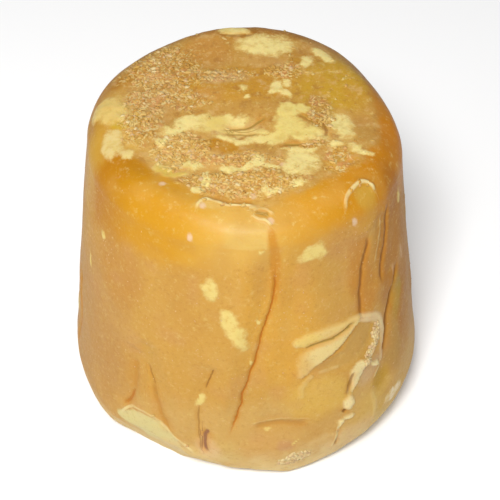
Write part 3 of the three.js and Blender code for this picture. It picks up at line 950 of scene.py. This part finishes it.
print("mean pale colour:", pale_colour.mean(axis=0).round(3))

# %% [markdown]
# ## The skin as a mesh
#
# The points and faces go into one mesh in a single call, and each field goes along as an attribute, a
# number stored at every point that the finish can read by name.


# %% Build the mesh
def new_piece(name, points, faces):
    """A smooth-shaded mesh object at the origin, from points in mm and lists of faces."""
    mesh = bpy.data.meshes.new(name)
    mesh.from_pydata((points * MM).tolist(), [], faces)
    mesh.polygons.foreach_set("use_smooth", np.ones(len(mesh.polygons), bool))
    mesh.update()
    return add_object(name, mesh)


def store(piece, name, values):
    """Stores one number, or one colour, for every point of a piece."""
    if values.ndim == 1:
        piece.data.attributes.new(name, "FLOAT", "POINT").data.foreach_set("value", values.astype(np.float32))
    else:
        full = np.concatenate((values, np.ones((len(values), 1))), axis=1).astype(np.float32)
        piece.data.attributes.new(name, "FLOAT_COLOR", "POINT").data.foreach_set("color", full.ravel())


block = new_piece("jaggery", place, quads.tolist() + fan.tolist())
for name, values in {
    "ground": ground, "pale": pale, "pale_colour": pale_colour, "crystal": crystal,
    "amber": amber, "grained": grained, "crease": crease, "crease_dark": crease_dark,
    "crease_colour": crease_colour, "lip_line": lip_line, "lip_pale_and_glint": lip_pale_and_glint,
}.items():
    store(block, name, values)
triangles = sum(len(face.vertices) - 2 for face in block.data.polygons)
print(len(block.data.vertices), "points,", triangles, "triangles")

# %% [markdown]
# ## The finish
#
# Jaggery lets a little light in, so it glows instead of looking like painted plaster: that is the
# subsurface part. The colour starts from the stored ground and gets, in order, a mottle and a fine
# speckle, the crust, the pale patches, the dark creases, three of them painted shade, and the bright
# lips, partly a painted highlight. Each edge is cut by noise finer than the mesh, so it looks ragged close
# up. Amber skin is smoother and shinier than grained sugar.

# %% Node helpers
# The block's material comes first, because the helpers add their nodes to it.
finish = bpy.data.materials.new("set_cane_sugar")
finish.use_nodes = True
tree = finish.node_tree
shader = tree.nodes["Principled BSDF"]


def add_node(kind, settings=(), **inputs):
    """Adds a node, sets its options, and fills its inputs with values or with other nodes' outputs."""
    node = tree.nodes.new("ShaderNode" + kind)
    for option, value in dict(settings).items():
        setattr(node, option, value)
    for name, value in inputs.items():
        socket = node.inputs[int(name[1:]) if name[1:].isdigit() else name.replace("_", " ")]
        if isinstance(value, bpy.types.NodeSocket):
            tree.links.new(value, socket)
        else:
            socket.default_value = value
    return node


def stored(name, kind="Fac"):
    """The output of a stored attribute: its number, or its Color."""
    return add_node("Attribute", {"attribute_name": name}).outputs[kind]


def noise(size, detail=2.0, rough=0.5, twist=0.0):
    """Noise with lumps about `size` mm across, from the point's place on the object."""
    where = add_node("TexCoord").outputs["Object"]
    return add_node(
        "TexNoise", Vector=where, Scale=1 / (size * MM), Detail=detail, Roughness=rough,
        Distortion=twist,
    ).outputs["Fac"]


def math_node(what, first, second=0.0, third=0.0):
    """One sum, such as MULTIPLY, SUBTRACT, ABSOLUTE, or MULTIPLY_ADD: first times second plus third."""
    return add_node("Math", {"operation": what}, i0=first, i1=second, i2=third).outputs[0]


def both(first, second):
    """One share times another."""
    return math_node("MULTIPLY", first, second)


def step(value, low, high, at_low=0.0, at_high=1.0):
    """A smooth step from at_low to at_high as the value goes from low to high."""
    return add_node(
        "MapRange", {"interpolation_type": "SMOOTHSTEP"}, Value=value, From_Min=low, From_Max=high,
        To_Min=at_low, To_Max=at_high,
    ).outputs["Result"]


def painted(under, share, over):
    """The colour `under` with another laid over it by a share: a screen colour, or a node's output."""
    node = add_node("Mix", {"data_type": "RGBA"}, i0=share, i6=under)
    if isinstance(over, bpy.types.NodeSocket):
        tree.links.new(over, node.inputs[7])
    else:
        node.inputs[7].default_value = (*linear(*over), 1)
    return node.outputs[2]


print("helpers ready")

# %% Shares of the finish
grained_share = stored("grained")
mottle = noise(3.4, 3, 0.6)
speckle = noise(1.2, 4, 0.7)
calm = step(stored("amber"), 0.3, 0.7, 1.0, 0.3)  # amber skin shows little speckle
crust = step(math_node("MULTIPLY_ADD", noise(2.4, 3), 1.6, stored("crystal")), 1.0, 1.7)
worm = math_node("ABSOLUTE", math_node("SUBTRACT", noise(2.6, 1, 0.5, 1.4), 0.5))
curl = both(step(worm, 0.075, 0.025), step(noise(2.2, 2), 0.42, 0.55, 0.05, 0.9))
patch = noise(4.5, 2)
pale_share = stored("pale")
fringe = math_node("MULTIPLY_ADD", noise(2.0, 4, 0.7), 2.3, math_node("MULTIPLY_ADD", pale_share, 0.95, -1.2))
pale_spots = step(noise(2.8, 3, 0.6), 0.5, 0.3, 0, 0.55)
pale_base = painted(stored("pale_colour", "Color"), pale_spots, (236, 202, 108))
line_place = math_node("ABSOLUTE", stored("crease"))
dark = stored("crease_dark")
lip_share = both(step(math_node("ABSOLUTE", stored("lip_line")), 0.5, 1.5, 1.0, 0.0), stored("lip_pale_and_glint"))
print("shares ready,", len(tree.nodes), "nodes")

# %% Colours of the finish
colour = stored("ground", "Color")
for share, over in [
    (both(step(mottle, 0.47, 0.3, 0, 0.6), grained_share), (186, 128, 60)),
    (both(step(mottle, 0.53, 0.7, 0, 0.6), grained_share), (236, 190, 118)),
    (both(step(speckle, 0.48, 0.3, 0, 0.28), calm), (184, 122, 56)),
    (both(step(speckle, 0.56, 0.74, 0, 0.52), calm), (246, 202, 134)),
    (both(step(patch, 0.48, 0.64, 0, 0.6), crust), (232, 160, 100)),
    (both(step(patch, 0.5, 0.36, 0, 0.35), crust), (214, 168, 76)),
    (both(step(worm, 0.08, 0.18, 0, 0.16), crust), (172, 116, 58)),
    (both(curl, crust), (248, 218, 148)),
    (step(pale_share, 0.05, 0.6, 0, 0.4), (236, 194, 106)),
    (step(fringe, 0, 1, 0, 0.95), pale_base),
    # crease lines; three of them are painted shade
    (both(step(line_place, 0.6, 6.0, 0.5, 0), dark), (226, 148, 44)),
    (both(step(line_place, 0.5, 1.7, 0.95, 0), dark), stored("crease_colour", "Color")),
    # the lips: pale sugar with a painted highlight along the crest
    (both(lip_share, 0.95), (262, 240, 170)),
]:
    colour = painted(colour, share, over)
tree.links.new(colour, shader.inputs["Base Color"])
print("colour linked,", len(tree.nodes), "nodes")

# %% Shine, bumps and inner light
roughness = math_node("MULTIPLY_ADD", stored("amber"), -0.12, step(noise(0.8, 2), 0.3, 0.7, 0.48, 0.62))
tree.links.new(roughness, shader.inputs["Roughness"])
line_share = both(step(line_place, 0.3, 2.0, 1.0, 0.0), dark)
carved = math_node("MULTIPLY_ADD", line_share, -2.5, noise(0.7, 3, 0.6))
carved = math_node("MULTIPLY_ADD", lip_share, 2.5, carved)
grain_bump = add_node("Bump", Strength=0.35, Distance=0.2 * MM, Height=carved)
crumb_bump = add_node(
    "Bump", Strength=0.5, Distance=0.4 * MM, Normal=grain_bump.outputs["Normal"],
    Height=both(noise(1.3, 3, 0.6), crust),
)
tree.links.new(crumb_bump.outputs["Normal"], shader.inputs["Normal"])
shader.inputs["Subsurface Weight"].default_value = 0.25
shader.inputs["Subsurface Radius"].default_value = (1.0, 0.5, 0.2)  # red light gets farthest
shader.inputs["Subsurface Scale"].default_value = 2.5 * MM
shader.inputs["Specular IOR Level"].default_value = 0.12
block.data.materials.append(finish)
print(len(tree.nodes), "nodes in", finish.name)

# %% [markdown]
# ## Loose grain
#
# On the crust and along the lips the sugar stands as single crystals, short crooked rods a millimetre or
# two long. One rod is a few rings of points closed by a point at either end. We copy it to spots picked
# at random, each with its own size, bend, heading and shade, and join all copies into one mesh. Tiny
# rounder specks lie thinly over the side.

# %% Grain
GRAIN_RINGS, GRAIN_SIDES = 3, 6
ring_at = np.cos(np.pi * (np.arange(GRAIN_RINGS) + 1) / (GRAIN_RINGS + 1))
side_at = 2 * np.pi * np.arange(GRAIN_SIDES) / GRAIN_SIDES
rod = np.concatenate((
    [[1.0, 0, 0]],
    np.stack((
        np.repeat(ring_at, GRAIN_SIDES),
        np.outer(np.sqrt(1 - ring_at**2), np.cos(side_at)).ravel(),
        np.outer(np.sqrt(1 - ring_at**2), np.sin(side_at)).ravel(),
    ), axis=1),
    [[-1.0, 0, 0]],
))
rod_rings = 1 + np.arange(GRAIN_RINGS * GRAIN_SIDES).reshape(GRAIN_RINGS, GRAIN_SIDES)
rod_quads = np.concatenate([quads_between(*pair) for pair in zip(rod_rings, rod_rings[1:])])
rod_caps = np.concatenate((
    np.stack((np.zeros(GRAIN_SIDES, int), rod_rings[0], np.roll(rod_rings[0], -1)), axis=1),
    np.stack((np.full(GRAIN_SIDES, len(rod) - 1), np.roll(rod_rings[-1], -1), rod_rings[-1]), axis=1),
))


def strew(name, chance, count, half_length, half_width, shades, own, seed):
    """Copies of the rod, joined, at `count` points of the skin picked by their chance.

    A rod's points are stretched to its half length and half width, bent by the square of their place
    along it, turned to a random heading in the skin's plane and sunk in past half their thickness; each
    point is then shaken by a share of the width. The colour is a part `own` of a random shade, and the
    rest is the colour of the skin below.
    """
    random = np.random.default_rng(seed)
    at = random.choice(len(chance), count, replace=False, p=chance / chance.sum())
    up = normal[at]
    ahead = np.cross(up, random.normal(size=(count, 3)))
    ahead /= np.linalg.norm(ahead, axis=1, keepdims=True)
    aside = np.cross(up, ahead)
    length, width = (random.uniform(*sizes, count)[:, None] for sizes in (half_length, half_width))
    bend = random.uniform(-0.5, 0.5, count)[:, None]
    along, sideways = rod[:, 0] * length, rod[:, 1] * width + bend * length * (rod[:, 0] ** 2 - 0.5)
    points = (
        place[at][:, None] + along[..., None] * ahead[:, None] + sideways[..., None] * aside[:, None]
        + ((0.8 * rod[:, 2] - 0.3) * width)[..., None] * up[:, None]
    )
    points += random.normal(0, 0.16, points.shape) * width[..., None]
    shift = (np.arange(count) * len(rod))[:, None, None]
    faces = []
    for kind in (rod_quads, rod_caps):
        faces += (kind + shift).reshape(-1, kind.shape[1]).tolist()
    piece = new_piece(name, points.reshape(-1, 3), faces)
    shade = np.array([linear(*each) for each in shades])[random.integers(len(shades), size=count)]
    store(piece, "shade", np.repeat(own * shade + (1 - own) * skin_colour[at], len(rod), axis=0))
    print(name, "-", count, "rods,", count * (2 * len(rod_quads) + len(rod_caps)), "triangles")
    return piece


on_lip = np.exp(-(lip_line**2)) * lip_pale_and_glint * (lip_pale_and_glint > 0.6)
crusted = crystal * smooth_step(crystal, 0.3, 0.7) * (1 - 0.6 * pale) * (0.6 + 0.6 * curls)
crusted *= 1 - 0.6 * top_zone(27, -20, 6, 9)
skin_colour = ground + (pale_colour - ground) * pale[:, None]
patchy = smooth_step(smooth_field(place, 9, 81), -0.2, 0.8)
low_corner = side_zone(16.5, 10.2, 5, 2.4, 14, edge=0.2) * (place[:, 2] > 3)
crowded = 3 * side_zone(-60, 80, 10, 12, edge=0.6) + 2 * side_zone(38, 87, 8, 5, edge=0.6)
grains = strew(
    "crystals", crusted + 0.2 * grit + 0.4 * on_lip + 0.012 * grained * (1 - amber), 1400,
    (0.4, 1.15), (0.3, 0.62),
    [(255, 226, 150), (250, 214, 134), (238, 194, 108), (226, 174, 90), (212, 154, 74), (242, 190, 128)],
    own=0.55, seed=82,
)
lumps = strew(
    "lumps", grit**3 + 0.6 * low_corner + 0.04 * crusted * smooth_step(curls, 0.6, 1), 230,
    (0.5, 1.0), (0.4, 0.7), [(255, 232, 172), (252, 222, 160), (244, 206, 144), (238, 200, 150)],
    own=0.85, seed=84,
)
specks = strew(
    "specks", (0.12 + patchy + crowded) * on_side * (place[:, 2] > 2) * (1 - 0.8 * amber), 320,
    (0.16, 0.4), (0.12, 0.26), [(248, 206, 158), (250, 214, 150)], own=0.6, seed=83,
)

# %% Finish of the grain
grain_finish = bpy.data.materials.new("sugar_crystal")
grain_finish.use_nodes = True
grain_tree = grain_finish.node_tree
grain_shader = grain_tree.nodes["Principled BSDF"]
shade = grain_tree.nodes.new("ShaderNodeAttribute")
shade.attribute_name = "shade"
grain_tree.links.new(shade.outputs["Color"], grain_shader.inputs["Base Color"])
grain_shader.inputs["Roughness"].default_value = 0.55
grain_shader.inputs["Specular IOR Level"].default_value = 0.12
for piece in (grains, lumps, specks):
    piece.data.materials.append(grain_finish)
print("grain finished")

# %% [markdown]
# ## Hand over
#
# The skin stands for the solid, the grain rides on it, and all take the one finish slot. Last we note
# both boxes, the solid's and the skin's, to see that they agree.

# %% Hand over
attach(block, "root")
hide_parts("jaggery_block")
for piece in (grains, lumps, specks):
    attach(piece, "root")

seen_low, seen_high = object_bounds()
sizes = {"cad": [list(cad_low), list(cad_high)], "visual": [list(seen_low), list(seen_high)]}
for name, box in sizes.items():
    print(name, "box in mm:", [[round(v / MM, 1) for v in corner] for corner in box])
